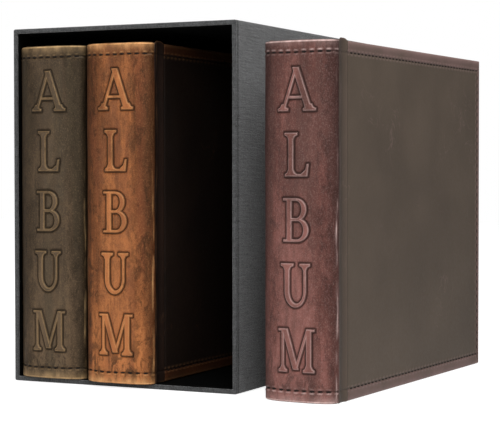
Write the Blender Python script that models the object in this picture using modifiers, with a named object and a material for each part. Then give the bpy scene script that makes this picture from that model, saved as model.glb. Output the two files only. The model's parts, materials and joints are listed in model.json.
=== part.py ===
"""Boxed set of three bound albums: an open slipcase that holds two, and a third standing beside it.

The origin is the centre of the slipcase's underside. +Z is up, the case's open mouth faces -Y, and +X runs to
the right as one looks into the mouth. Lengths are in metres.
"""
import math

import bmesh
import bpy
from mathutils import Matrix, Vector

GAP = 0.0003  # between two pieces that touch on the real object
PAST = 0.001  # how far a cutter reaches past the face it opens

# Slipcase
CASE_W, CASE_D, CASE_H = 0.1702, 0.2500, 0.2409
CLOTH = 0.00035
CASE_BOARD = 0.0018
LINING = 0.0003
BOARD_OUT = CLOTH + GAP  # outer face of the boards, in from the outside
BOARD_IN = BOARD_OUT + CASE_BOARD
LINING_OUT = BOARD_IN + GAP
WALL = LINING_OUT + LINING
TURN_IN = 0.015  # cloth folded in round the mouth
TURNED = LINING_OUT + CLOTH  # inner face of that folded cloth

# Albums
ALBUM_T, ALBUM_D, ALBUM_H = 0.0512, 0.2411, 0.2250  # across the spine, spine edge to fore-edge, height
LEATHER = 0.0008
COVER_BOARD = 0.0022
COVER_T = 2 * LEATHER + 2 * GAP + COVER_BOARD
COVER_ROUND = 0.0006
LEATHER_TURN_IN = 0.015
ENDPAPER = 0.0003
ENDPAPER_MARGIN = 0.004
HINGE_Y = 0.0096  # the hinge line is this far back from the spine edge, in the leather's outer face
HINGE_TO_BOARD = 0.0025  # leather that flexes between the hinge line and the cover board
COVER_REACH = ALBUM_D - HINGE_Y

# Spine: a crowned section with round shoulders, |x/a|^p + |y/b|^q = 1
SPINE_BULGE = 0.0085
CROWN_POWER_X, CROWN_POWER_Y = 3.2, 1.8
CROWN_STEPS = 14
SPINE_BOARD = 0.0018

# Sewing
THREAD_R = 0.00025
THREAD_OUT = GAP + THREAD_R
STITCH_MARGIN = 0.0075  # sewing line in from the head and the tail
FORE_EDGE_STITCH_MARGIN = 0.0055  # and in from the cover's fore-edge
STITCH_START = 0.0035  # from the hinge line
SPINE_STITCH_END = math.radians(14)  # where the spine's sewing starts, round its crown

# Leaves
LEAF_T, LEAF_PITCH, LEAF_SLOTS = 0.0009, 0.0014, 28
LEAF_MARGIN = 0.0050  # how far the covers stand past the leaves
LEAF_REACH = ALBUM_D - LEAF_MARGIN
GLUED_START, GLUED_END = 0.0008, 0.0140  # the glued block that holds the leaves
GLUED_INSET = COVER_T + 2 * GAP + ENDPAPER
LEAF_AXIS_Y = GLUED_END + 2 * GAP
TURNING_LEAVES = 3

# Where each album stands: its left spine edge from the case's front left corner, and its turn about +Z
IN_CASE_Z = WALL + GAP
BRONZE_AT = (0.0046, 0.0044)
COPPER_AT = (0.0592, 0.0005)
PLUM_AT = (0.1944, -0.0068)
PLUM_TURN = math.radians(-2.94)

MATERIALS = {  # colour and roughness
    "case_cloth": ((0.030, 0.031, 0.032, 1), 0.75),
    "greyboard": ((0.30, 0.28, 0.25, 1), 0.95),
    "case_lining": ((0.004, 0.004, 0.004, 1), 0.90),
    "bronze_spine_leather": ((0.076, 0.053, 0.037, 1), 0.45),
    "copper_spine_leather": ((0.200, 0.080, 0.037, 1), 0.45),
    "plum_spine_leather": ((0.156, 0.074, 0.061, 1), 0.45),
    "bronze_cover_leather": ((0.046, 0.034, 0.025, 1), 0.60),
    "copper_cover_leather": ((0.012, 0.007, 0.005, 1), 0.60),
    "plum_cover_leather": ((0.086, 0.062, 0.045, 1), 0.60),
    "thread": ((0.020, 0.015, 0.013, 1), 0.80),
    "endpaper": ((0.030, 0.027, 0.025, 1), 0.85),
    "leaf": ((0.75, 0.73, 0.68, 1), 0.50),
}


# ---------------------------------------------------------------- scene and materials

def clear_scene():
    for obj in list(bpy.data.objects):
        bpy.data.objects.remove(obj)


def new_collection(name):
    collection = bpy.data.collections.new(name)
    bpy.context.scene.collection.children.link(collection)
    return collection


def make_materials():
    made = {}
    for name, (colour, roughness) in MATERIALS.items():
        material = bpy.data.materials.new(name)
        material.use_nodes = True
        shader = material.node_tree.nodes["Principled BSDF"]
        shader.inputs["Base Color"].default_value = colour
        shader.inputs["Roughness"].default_value = roughness
        shader.inputs["Metallic"].default_value = 0.0
        made[name] = material
    return made


# ---------------------------------------------------------------- building blocks

def add(name, data, material, parent=None):
    obj = bpy.data.objects.new(name, data)
    PARTS.objects.link(obj)
    data.materials.append(SHADES[material])
    obj.parent = parent
    return obj


def empty(name, location, turn=0.0, parent=None):
    obj = bpy.data.objects.new(name, None)
    PARTS.objects.link(obj)
    obj.location = location
    obj.rotation_euler = (0, 0, turn)
    obj.parent = parent
    return obj


def box_mesh(name, corner, opposite):
    low = Vector(min(a, b) for a, b in zip(corner, opposite))
    high = Vector(max(a, b) for a, b in zip(corner, opposite))
    place = Matrix.Translation((low + high) / 2) @ Matrix.Diagonal((*(high - low), 1))
    mesh = bpy.data.meshes.new(name)
    shape = bmesh.new()
    bmesh.ops.create_cube(shape, size=1.0, matrix=place)
    shape.to_mesh(mesh)
    shape.free()
    return mesh


def box(name, corner, opposite, material, parent=None):
    return add(name, box_mesh(name, corner, opposite), material, parent)


def round_edges(obj, width):
    modifier = obj.modifiers.new("rounded edges", "BEVEL")
    modifier.width = width
    modifier.segments = 2
    modifier.limit_method = "ANGLE"


def cut(obj, corner, opposite):
    """Take a box out of an object, in the frame of the object's parent."""
    name = f"{obj.name}_cutter"
    cutter = bpy.data.objects.new(name, box_mesh(name, corner, opposite))
    CUTTERS.objects.link(cutter)
    cutter.hide_render = True
    cutter.display_type = "WIRE"
    cutter.parent = obj.parent
    modifier = obj.modifiers.new("cut", "BOOLEAN")
    modifier.operation = "DIFFERENCE"
    modifier.solver = "EXACT"
    modifier.object = cutter


def slab(name, outline, low, high, material, parent=None, along="Z"):
    """A flat outline made thick: (x, y) points along Z, or (y, z) points along X."""
    curve = bpy.data.curves.new(name, "CURVE")
    curve.dimensions = "2D"
    curve.fill_mode = "BOTH"
    curve.extrude = (high - low) / 2
    spline = curve.splines.new("POLY")
    spline.points.add(len(outline) - 1)
    for point, (a, b) in zip(spline.points, outline):
        point.co = (a, b, 0, 1)
    spline.use_cyclic_u = True
    obj = add(name, curve, material, parent)
    middle = (low + high) / 2
    if along == "Z":
        obj.location = (0, 0, middle)
    else:
        obj.location = (middle, 0, 0)
        obj.rotation_euler = (math.pi / 2, 0, math.pi / 2)
    return obj


def as_mesh(curve_obj):
    """The same piece as a mesh in the world frame, so that it can be cut."""
    bpy.context.view_layer.update()
    evaluated = curve_obj.evaluated_get(bpy.context.evaluated_depsgraph_get())
    mesh = bpy.data.meshes.new_from_object(evaluated)
    mesh.transform(curve_obj.matrix_world)
    shape = bmesh.new()
    shape.from_mesh(mesh)
    bmesh.ops.remove_doubles(shape, verts=shape.verts, dist=0.00001)
    bmesh.ops.recalc_face_normals(shape, faces=shape.faces)
    shape.to_mesh(mesh)
    shape.free()
    name = curve_obj.name
    bpy.data.objects.remove(curve_obj)
    obj = bpy.data.objects.new(name, mesh)
    PARTS.objects.link(obj)
    return obj


def thread(name, points, parent):
    """The continuous sewing thread along one stitch line."""
    curve = bpy.data.curves.new(name, "CURVE")
    curve.dimensions = "3D"
    curve.bevel_depth = THREAD_R
    curve.bevel_resolution = 1
    curve.use_fill_caps = True
    spline = curve.splines.new("POLY")
    spline.points.add(len(points) - 1)
    for point, place in zip(spline.points, points):
        point.co = (*place, 1)
    return add(name, curve, "thread", parent)


# ---------------------------------------------------------------- slipcase

def make_case_boards():
    """The side walls run the full height; the floor, top and back fit between them."""
    half, front, back = CASE_W / 2, -CASE_D / 2 + BOARD_OUT, CASE_D / 2 - BOARD_OUT
    between = half - BOARD_IN - GAP
    for side, sign in (("left", -1), ("right", 1)):
        box(f"case_{side}_board", (sign * (half - BOARD_OUT), front, BOARD_OUT),
            (sign * (half - BOARD_IN), back, CASE_H - BOARD_OUT), "greyboard")
    box("case_floor_board", (-between, front, BOARD_OUT), (between, back, BOARD_IN), "greyboard")
    box("case_top_board", (-between, front, CASE_H - BOARD_IN),
        (between, back, CASE_H - BOARD_OUT), "greyboard")
    box("case_back_board", (-between, back - CASE_BOARD, BOARD_IN + GAP),
        (between, back, CASE_H - BOARD_IN - GAP), "greyboard")


def turned_in_cloth_outline():
    """Cloth under the floor and round its front edge, as (y, z) points with the floor's underside at z = 0."""
    front, back = -CASE_D / 2, CASE_D / 2
    turn = front + TURN_IN
    return [(front, 0), (back, 0), (back, CLOTH), (front + CLOTH, CLOTH), (front + CLOTH, LINING_OUT),
            (turn, LINING_OUT), (turn, TURNED), (front, TURNED)]


def make_level_cloth(name, flip):
    """Cloth of the floor or of the top. Its turned-in lip stops short of the side cloth's lips."""
    outline = [(y, CASE_H - z if flip else z) for y, z in turned_in_cloth_outline()]
    obj = as_mesh(slab(name, outline, -CASE_W / 2, CASE_W / 2, "case_cloth", along="X"))
    level, past = (CASE_H - CLOTH, CASE_H - TURNED - PAST) if flip else (CLOTH, TURNED + PAST)
    lip_end = CASE_W / 2 - TURNED - GAP
    for sign in (-1, 1):
        cut(obj, (sign * lip_end, -CASE_D / 2 - PAST, level),
            (sign * (CASE_W / 2 + PAST), -CASE_D / 2 + TURN_IN + PAST, past))


def make_side_cloth():
    """One strip of cloth from inside the left wall, round the mouth's edge, the sides and the back."""
    half, front, back = CASE_W / 2, -CASE_D / 2, CASE_D / 2
    turn = front + TURN_IN
    inner = [(-half + TURNED, turn), (-half + LINING_OUT, turn), (-half + LINING_OUT, front + CLOTH),
             (-half + CLOTH, front + CLOTH), (-half + CLOTH, back - CLOTH)]
    outer = [(-half, back), (-half, front), (-half + TURNED, front)]
    mirrored_inner = [(-x, y) for x, y in reversed(inner)]
    mirrored_outer = [(-x, y) for x, y in reversed(outer)]
    outline = inner + mirrored_inner + mirrored_outer + outer
    low, high = BOARD_OUT, CASE_H - BOARD_OUT
    obj = as_mesh(slab("case_side_cloth", outline, low, high, "case_cloth"))
    for sign in (-1, 1):
        for start, stop in ((low - PAST, TURNED + GAP), (high + PAST, CASE_H - TURNED - GAP)):
            cut(obj, (sign * (half - TURNED - PAST), front + CLOTH, start),
                (sign * (half - LINING_OUT + CLOTH / 2), turn + PAST, stop))


def make_case_lining():
    half, start = CASE_W / 2, -CASE_D / 2 + TURN_IN + GAP
    end_out, end_in = CASE_D / 2 - LINING_OUT, CASE_D / 2 - WALL
    left = [(-half + WALL, start), (-half + LINING_OUT, start), (-half + LINING_OUT, end_out)]
    right = [(-x, y) for x, y in reversed(left)]
    outline = left + right + [(half - WALL, end_in), (-half + WALL, end_in)]
    slab("case_side_lining", outline, WALL + GAP, CASE_H - WALL - GAP, "case_lining")
    box("case_floor_lining", (-half + WALL, start, LINING_OUT), (half - WALL, end_out, WALL), "case_lining")
    box("case_top_lining", (-half + WALL, start, CASE_H - WALL),
        (half - WALL, end_out, CASE_H - LINING_OUT), "case_lining")


def make_slipcase():
    make_case_boards()
    make_level_cloth("case_floor_cloth", flip=False)
    make_level_cloth("case_top_cloth", flip=True)
    make_side_cloth()
    make_case_lining()


# ---------------------------------------------------------------- albums

def crown(inset, start=0.0, steps=CROWN_STEPS):
    """Points across the spine's crown, left to right, a given distance inside its outer face."""
    a, b = ALBUM_T / 2 - inset, SPINE_BULGE - inset
    points = []
    for step in range(steps + 1):
        angle = math.pi - start - (math.pi - 2 * start) * step / steps
        across = math.copysign(abs(math.cos(angle)) ** (2 / CROWN_POWER_X), math.cos(angle))
        out = abs(math.sin(angle)) ** (2 / CROWN_POWER_Y)
        points.append((ALBUM_T / 2 + a * across, -b * out))
    return points


def make_spine(name, parent):
    """The spine's leather, its board, and the two leather hinge strips beside it."""
    outline = crown(0) + crown(LEATHER)[::-1]
    slab(f"{name}_spine_leather", outline, 0, ALBUM_H, f"{name}_spine_leather", parent)
    board_out = LEATHER + GAP
    outline = crown(board_out) + crown(board_out + SPINE_BOARD)[::-1]
    slab(f"{name}_spine_board", outline, board_out, ALBUM_H - board_out, "greyboard", parent)
    for side, x in (("back", 0), ("front", ALBUM_T - LEATHER)):
        box(f"{name}_{side}_hinge", (x, GAP, 0), (x + LEATHER, HINGE_Y - GAP, ALBUM_H),
            f"{name}_cover_leather", parent)


def make_spine_threads(name, parent):
    path = crown(-THREAD_OUT, SPINE_STITCH_END, steps=10)
    for end, z in (("tail", STITCH_MARGIN), ("head", ALBUM_H - STITCH_MARGIN)):
        thread(f"{name}_spine_{end}_thread", [(x, y, z) for x, y in path], parent)


def make_cover(name, side, parent):
    """A cover about its hinge line: x = 0 is its outer face, and y runs to the fore-edge."""
    inward = 1 if side == "back" else -1
    skin = box(f"{name}_{side}_leather", (0, GAP, 0), (inward * COVER_T, COVER_REACH, ALBUM_H),
               f"{name}_cover_leather", parent)
    round_edges(skin, COVER_ROUND)
    cut(skin, (inward * LEATHER, -PAST, LEATHER),
        (inward * (COVER_T - LEATHER), COVER_REACH - LEATHER, ALBUM_H - LEATHER))
    cut(skin, (inward * (COVER_T - LEATHER - PAST), -PAST, LEATHER_TURN_IN),
        (inward * (COVER_T + PAST), COVER_REACH - LEATHER_TURN_IN, ALBUM_H - LEATHER_TURN_IN))
    inset = LEATHER + GAP
    box(f"{name}_{side}_board", (inward * inset, HINGE_TO_BOARD, inset),
        (inward * (inset + COVER_BOARD), COVER_REACH - inset, ALBUM_H - inset), "greyboard", parent)
    inner_face = COVER_T + GAP
    box(f"{name}_{side}_endpaper", (inward * inner_face, HINGE_TO_BOARD, ENDPAPER_MARGIN),
        (inward * (inner_face + ENDPAPER), COVER_REACH - ENDPAPER_MARGIN, ALBUM_H - ENDPAPER_MARGIN),
        "endpaper", parent)
    x, far = -inward * THREAD_OUT, COVER_REACH - FORE_EDGE_STITCH_MARGIN
    low, high = STITCH_MARGIN, ALBUM_H - STITCH_MARGIN
    thread(f"{name}_{side}_thread",
           [(x, STITCH_START, low), (x, far, low), (x, far, high), (x, STITCH_START, high)], parent)


def leaf_middle(index):
    """Where a leaf lies across the spine, counted from the back cover."""
    return ALBUM_T / 2 + (index - (LEAF_SLOTS - 1) / 2) * LEAF_PITCH


def make_page_block(name, fixed_leaves, parent):
    """The leaves, held together at the spine by the block of glue and guards."""
    left, right = GLUED_INSET, ALBUM_T - GLUED_INSET
    outline = [(left, GLUED_END), (left, GLUED_START), (right, GLUED_START), (right, GLUED_END)]
    for index in reversed(range(fixed_leaves)):
        near, far = leaf_middle(index) + LEAF_T / 2, leaf_middle(index) - LEAF_T / 2
        outline += [(near, GLUED_END), (near, LEAF_REACH), (far, LEAF_REACH), (far, GLUED_END)]
    slab(f"{name}_page_block", outline, LEAF_MARGIN, ALBUM_H - LEAF_MARGIN, "leaf", parent)


def make_turning_leaf(name, number, spine):
    """A leaf that turns on its own, about the edge of the glued block; number 1 is next to the front cover."""
    axis = empty(f"{name}_leaf_{number}_axis", (leaf_middle(LEAF_SLOTS - number), LEAF_AXIS_Y, 0), parent=spine)
    box(f"{name}_leaf_{number}", (-LEAF_T / 2, GAP, LEAF_MARGIN),
        (LEAF_T / 2, LEAF_REACH - LEAF_AXIS_Y, ALBUM_H - LEAF_MARGIN), "leaf", axis)


def make_album(name, place, z, turn=0.0, turning_leaves=0):
    corner = (place[0] - CASE_W / 2, place[1] - CASE_D / 2, z)
    album = empty(f"{name}_album", corner, turn)
    back_hinge = empty(f"{name}_back_hinge_line", (0, HINGE_Y, 0), parent=album)
    spine = empty(f"{name}_spine_edge", (0, -HINGE_Y, 0), parent=back_hinge)
    front_hinge = empty(f"{name}_front_hinge_line", (ALBUM_T, HINGE_Y, 0), parent=spine)
    make_spine(name, spine)
    make_spine_threads(name, spine)
    make_cover(name, "back", back_hinge)
    make_cover(name, "front", front_hinge)
    make_page_block(name, LEAF_SLOTS - turning_leaves, spine)
    for number in range(1, turning_leaves + 1):
        make_turning_leaf(name, number, spine)


def make_albums():
    make_album("bronze", BRONZE_AT, IN_CASE_Z)
    make_album("copper", COPPER_AT, IN_CASE_Z)
    make_album("plum", PLUM_AT, 0, PLUM_TURN, TURNING_LEAVES)


clear_scene()
PARTS = new_collection("boxed_album_set")
CUTTERS = new_collection("cutters")
SHADES = make_materials()
make_slipcase()
make_albums()
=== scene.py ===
"""Looks of the boxed album set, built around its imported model: leather, sewing, linen and leaves.

Lengths are in metres, in the model's frame: +Z up, the slipcase's mouth towards -Y. Each album is made in its
own frame first: x across the thickness from the back cover, y from the spine edge to the fore-edge, z up.
"""
import json
import math

import bpy
import numpy as np
from mathutils import Matrix, Vector


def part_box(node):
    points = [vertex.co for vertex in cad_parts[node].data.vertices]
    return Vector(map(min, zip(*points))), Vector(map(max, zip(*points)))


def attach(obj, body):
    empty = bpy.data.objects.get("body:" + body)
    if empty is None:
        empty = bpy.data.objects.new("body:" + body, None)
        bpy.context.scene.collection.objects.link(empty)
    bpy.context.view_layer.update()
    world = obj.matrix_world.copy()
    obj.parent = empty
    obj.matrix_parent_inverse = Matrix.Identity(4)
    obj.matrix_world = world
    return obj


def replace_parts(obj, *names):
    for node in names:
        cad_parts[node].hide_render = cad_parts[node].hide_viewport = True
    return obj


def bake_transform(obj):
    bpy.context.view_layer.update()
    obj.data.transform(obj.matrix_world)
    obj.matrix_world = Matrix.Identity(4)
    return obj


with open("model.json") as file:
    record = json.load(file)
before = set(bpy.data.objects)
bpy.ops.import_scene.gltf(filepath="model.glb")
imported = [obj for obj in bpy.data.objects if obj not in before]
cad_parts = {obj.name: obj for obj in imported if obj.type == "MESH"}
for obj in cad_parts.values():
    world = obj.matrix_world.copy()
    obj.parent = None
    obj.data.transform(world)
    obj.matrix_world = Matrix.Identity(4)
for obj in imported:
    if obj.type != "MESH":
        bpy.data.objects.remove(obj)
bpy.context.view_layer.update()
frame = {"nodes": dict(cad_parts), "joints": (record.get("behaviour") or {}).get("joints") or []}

MM = 0.001
GAP = 0.3 * MM  # between parts that would otherwise touch


# ---- sizes, read from the frame

def joint(name):
    return next(j for j in frame["joints"] if j["name"] == name)


SPINE_LOW, SPINE_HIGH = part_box("bronze_spine_leather")
HINGE_LOW, HINGE_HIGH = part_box("bronze_back_hinge")
COVER_LOW, COVER_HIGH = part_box("bronze_back_leather")
BLOCK_LOW, BLOCK_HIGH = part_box("bronze_page_block")
CASE_LOW, CASE_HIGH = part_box("case_side_cloth")
CASE_LOW_Z, CASE_HIGH_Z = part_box("case_floor_cloth")[0].z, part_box("case_top_cloth")[1].z

THICK = SPINE_HIGH.x - SPINE_LOW.x
HEIGHT = SPINE_HIGH.z - SPINE_LOW.z
BULGE = SPINE_HIGH.y - SPINE_LOW.y
LEATHER = HINGE_HIGH.x - HINGE_LOW.x
HINGE_Y = HINGE_HIGH.y + GAP - SPINE_HIGH.y
DEPTH = COVER_HIGH.y - SPINE_HIGH.y
COVER_T = COVER_HIGH.x - COVER_LOW.x
LEAF_MARGIN = BLOCK_LOW.z - SPINE_LOW.z
LEAF_REACH = BLOCK_HIGH.y - SPINE_HIGH.y
BLOCK_INSET = BLOCK_LOW.x - SPINE_LOW.x
BLOCK_START = BLOCK_LOW.y - SPINE_HIGH.y

FLEX = 2.6 * MM  # the leather that bends, on each side of the hinge line
COVER_START = HINGE_Y + FLEX + 0.4 * MM
LEATHER_TURN_IN = 15 * MM
STITCH_PITCH = 5.4 * MM
STITCH_MARGIN = 7.5 * MM  # sewn lines in from the head and the tail
SEWN_LINES = (STITCH_MARGIN, HEIGHT - STITCH_MARGIN)
FORE_EDGE_LINE = DEPTH - 5.5 * MM


def album_frame(corner, along_x):
    """Where an album stands: a function that turns album coordinates into the model's frame."""
    x = np.array([*along_x[:2], 0.0])
    x /= np.linalg.norm(x)
    axes = np.array([x, [-x[1], x[0], 0.0], [0.0, 0.0, 1.0]])
    return lambda points: np.array(corner, float) + np.asarray(points, float) @ axes


def shelved_frame(name):
    low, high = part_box(f"{name}_spine_leather")
    return album_frame((low.x, high.y, low.z), (1, 0))


def standing_frame(name):
    back, front = (Vector(joint(f"{name}_{side}_hinge")["pos_m"]) for side in ("back", "front"))
    spine_edge = album_frame(back, front - back)((0, -HINGE_Y, 0))
    return album_frame(spine_edge, front - back)


# ---- mesh helpers

def add_object(name, data):
    obj = bpy.data.objects.new(name, data)
    bpy.context.scene.collection.objects.link(obj)
    return obj


def make_piece(name, verts, faces, material, attributes=None, smooth=True, flip=False):
    """A closed piece whose faces point out; flip turns them all over."""
    mesh = bpy.data.meshes.new(name)
    mesh.from_pydata(np.asarray(verts, float).tolist(), [], [face[::-1] for face in faces] if flip else faces)
    if smooth:
        mesh.shade_smooth()
    for key, values in (attributes or {}).items():
        layer = mesh.attributes.new(key, "FLOAT", "POINT")
        layer.data.foreach_set("value", np.asarray(values, np.float32).ravel())
    mesh.materials.append(material)
    return add_object(name, mesh)


def grid_faces(rows, columns, wrap=False):
    """Quads of a grid whose vertex (i, k) has index i * columns + k; wrap closes each row."""
    i, k = np.meshgrid(np.arange(rows - 1), np.arange(columns if wrap else columns - 1), indexing="ij")
    after = (k + 1) % columns
    quads = np.stack([i * columns + k, (i + 1) * columns + k, (i + 1) * columns + after,
                      i * columns + after], axis=-1)
    return quads.reshape(-1, 4).tolist()


def tube_faces(rows, columns):
    """Closed rows joined one to the next, with a cap on the first and the last."""
    caps = [list(range(columns)), [(rows - 1) * columns + k for k in reversed(range(columns))]]
    return grid_faces(rows, columns, wrap=True) + caps


def join_meshes(parts):
    """The points and the faces of several meshes, as one."""
    starts = np.cumsum([0] + [len(points) for points, _ in parts]).tolist()
    faces = [[index + start for index in face] for start, part in zip(starts, parts) for face in part[1]]
    return np.concatenate([points for points, _ in parts]), faces


def smooth_step(value, low, high):
    t = np.clip((value - low) / (high - low), 0, 1)
    return t * t * (3 - 2 * t)


def bell(distance, width):
    return np.exp(-(distance / width) ** 2)


def quarter_turn(*degrees):
    """How far a unit arc has left its first side, and has still to go to its second, at each angle."""
    return [(1 - math.cos(a), 1 - math.sin(a)) for a in map(math.radians, degrees)]


def seed_of(*names):
    return sum(map(ord, "".join(names)))


def wavy(values, seed, scale):
    """A smooth irregular wave in -1 to 1, from a few sines."""
    rng = np.random.default_rng(seed)
    total = np.zeros_like(values)
    for octave in range(1, 5):
        total += np.sin(values * scale * octave * rng.uniform(0.7, 1.3) + rng.uniform(0, 6.28)) / octave
    return total / 2.0


def patchy(values, seed, scale, middle, swing):
    """An irregular factor, from 0 to 1."""
    return np.clip(middle + swing * wavy(values, seed, scale), 0, 1)


def spaced(stops):
    """Positions through (end, spacing) stretches, starting at the first stop's end."""
    places = [stops[0][0]]
    for end, spacing in stops[1:]:
        count = max(1, round((end - places[-1]) / spacing))
        places += list(np.linspace(places[-1], end, count + 1)[1:])
    return np.array(places)


# ---- letters

WORD = "ALBUM"
LETTER_H = 27.2 * MM
LETTER_TOP, LETTER_BOTTOM = 0.135, 0.856  # centres of the first and last letter, down the album's height
LETTER_REACH = 0.72 * LETTER_H  # how far from a letter's centre its distances are worked out
STEM, THIN, FOOT = 0.135, 0.062, 0.058  # stroke widths and serif height, of the letter's height


def polygon_distance(points, corners):
    """Signed distance to a polygon, below zero inside."""
    corners = np.asarray(corners, float)
    nearest = np.full(len(points), np.inf)
    inside = np.zeros(len(points), bool)
    for start, end in zip(corners, np.roll(corners, -1, axis=0)):
        edge, offset = end - start, points - start
        t = np.clip(offset @ edge / max(edge @ edge, 1e-12), 0, 1)
        nearest = np.minimum(nearest, ((offset - t[:, None] * edge) ** 2).sum(1))
        crosses = (start[1] > points[:, 1]) != (end[1] > points[:, 1])
        slope = edge[0] / edge[1] if abs(edge[1]) > 1e-12 else 0.0
        inside ^= crosses & (points[:, 0] < start[0] + slope * (points[:, 1] - start[1]))
    return np.where(inside, -1, 1) * np.sqrt(nearest)


def rectangle(x0, x1, y0, y1):
    return [(x0, y0), (x1, y0), (x1, y1), (x0, y1)]


def slanted(x_low, x_high, width, y_low=0.0, y_high=1.0):
    half = width / 2
    return [(x_low - half, y_low), (x_low + half, y_low), (x_high + half, y_high), (x_high - half, y_high)]


def serif(x0, x1, top=False, reach=0.10):
    """A bracketed foot, or head, of a stem that spans x0 to x1."""
    shape = [(x0 - reach, 0), (x1 + reach, 0), (x1 + reach, FOOT), (x1 + 0.035, 1.5 * FOOT),
             (x1, 2.8 * FOOT), (x0, 2.8 * FOOT), (x0 - 0.035, 1.5 * FOOT), (x0 - reach, FOOT)]
    return [(x, 1 - y) for x, y in shape] if top else shape


def bowl(x0, x1, y0, y1, reach):
    """A D shape: straight sides from x0 to x1, then half an ellipse."""
    middle, half = (y0 + y1) / 2, (y1 - y0) / 2
    angles = np.linspace(-math.pi / 2, math.pi / 2, 17)
    return [(x0, y0)] + [(x1 + reach * math.cos(a), middle + half * math.sin(a)) for a in angles] + [(x0, y1)]


def cup(x0, x1, y0, y1, rise):
    """The lower half of an ellipse, with straight sides above it."""
    middle, half = (x0 + x1) / 2, (x1 - x0) / 2
    angles = np.linspace(math.pi, 2 * math.pi, 17)
    curve = [(middle + half * math.cos(a), y1 + (y1 - y0) * math.sin(a)) for a in angles]
    return [(x0, y1 + rise)] + curve + [(x1, y1 + rise)]


def letter_shapes(letter):
    """Polygons of a letter one unit high: those that add to it, and pairs of a ring's outside and inside."""
    if letter == "A":
        return [slanted(-0.335, 0.005, 0.085), slanted(0.335, -0.015, 0.170),
                rectangle(-0.22, 0.22, 0.285, 0.345), serif(-0.375, -0.295), serif(0.27, 0.40)], []
    if letter == "L":
        arm = [(-0.10, 0), (0.29, 0), (0.325, 0.29), (0.27, 0.29), (0.23, 0.15), (0.12, FOOT), (-0.10, FOOT)]
        return [rectangle(-0.20, -0.20 + STEM, 0, 1), arm, serif(-0.20, -0.20 + STEM, reach=0.09),
                serif(-0.20, -0.20 + STEM, top=True)], []
    if letter == "B":
        left, right = -0.245, -0.245 + STEM
        feet = [rectangle(left - 0.09, right, 0, FOOT), rectangle(left - 0.09, right, 1 - FOOT, 1)]
        return [rectangle(left, right, 0, 1)] + feet, [
            (bowl(left, 0.00, 0.475, 1.0, 0.265), bowl(right, 0.00, 0.545, 1 - THIN, 0.130)),
            (bowl(left, 0.02, 0.0, 0.545, 0.300), bowl(right, 0.02, THIN, 0.480, 0.160))]
    if letter == "U":
        left, right, turn = -0.30, 0.255, 0.36
        return [rectangle(left, left + STEM, turn, 1), rectangle(right - 0.075, right, turn, 1),
                serif(left, left + STEM, top=True), serif(right - 0.075, right, top=True)], [
            (cup(left, right, -0.01, turn, 0.12), cup(left + STEM, right - 0.075, 0.085, turn, 0.30))]
    left, right = -0.385, 0.250
    return [rectangle(left, left + 0.075, 0, 1), rectangle(right, right + STEM, 0, 1),
            slanted(-0.01, left + 0.09, 0.150, 0.06), slanted(-0.01, right + 0.045, 0.075, 0.06),
            serif(left, left + 0.075, reach=0.08), serif(right, right + STEM, reach=0.08),
            rectangle(left - 0.08, left + 0.08, 1 - FOOT, 1),
            rectangle(right, right + STEM + 0.08, 1 - FOOT, 1)], []


def letter_distance(points, letter):
    solid, rings = letter_shapes(letter)
    distance = np.full(len(points), np.inf)
    for shape in solid:
        distance = np.minimum(distance, polygon_distance(points, shape))
    for outside, inside in rings:
        ring = np.maximum(polygon_distance(points, outside), -polygon_distance(points, inside))
        distance = np.minimum(distance, ring)
    return distance


def word_distance(across, up):
    """Distance from each point of the spine to the raised word, in metres; far points get a large value."""
    distance = np.full(across.shape, 1.0)
    centres = HEIGHT * (1 - np.linspace(LETTER_TOP, LETTER_BOTTOM, len(WORD)))
    for letter, centre in zip(WORD, centres):
        near = (np.abs(up - centre) < LETTER_REACH) & (np.abs(across) < LETTER_REACH)
        points = np.stack([across[near], up[near] - centre + LETTER_H / 2], axis=1) / LETTER_H
        distance[near] = letter_distance(points, letter) * LETTER_H
    return distance


# ---- leather surfaces

CROWN_POWER_X, CROWN_POWER_Y = 3.2, 1.8
CROWN_SAMPLES, NORMAL_STEP = 4001, 0.4 * MM
END_FADE = {"bronze": (0.62, 0.75), "copper": (0.85, 0.95), "plum": (0.22, 0.42)}  # wear at head, tail
PUCKER_WEAR_AND_HIGHLIGHT = {"bronze": 0.25, "copper": 0.40, "plum": 0.60}  # beside the stitches: partly rubbed wear, partly painted highlight

LETTER_RISE, LETTER_FLANK = 0.50 * MM, 0.60 * MM
PRESSED_DEPTH, PRESSED_WIDTH = 0.75 * MM, 0.60 * MM  # the line pressed in round each letter
GROOVE_DEPTH, GROOVE_WIDTH = 0.42 * MM, 0.60 * MM  # along a sewn line
SWELL_RISE, SWELL_WIDTH = 0.30 * MM, 0.75 * MM  # beside each stitch
THREAD_SAG, SAG_WAVES = 0.25 * MM, 140

LETTER_BAND = 15.5 * MM  # half of the spine's middle, meshed finely for the letters
SPINE_END, HINGE_END, COVER_EDGE, FINE = 0.012, 0.010, 0.009, 0.0004  # meshed finely for the sewing
SPINE_ROUNDING, HINGE_ROUNDING, COVER_ROUNDING = 1.3 * MM, 0.45 * MM, 1.2 * MM
SPINE_TURN_IN = [(3.7, 0.0), (4.0, 0.4), (4.0, 14.0), (3.2, 14.0), (3.2, 0.8), (0.8, 0.8)]  # mm in, mm along
CHANNEL_DEPTH = 1.15 * MM
EAR_HEIGHT, EAR_FADE = 1.5 * MM, 8 * MM


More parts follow.
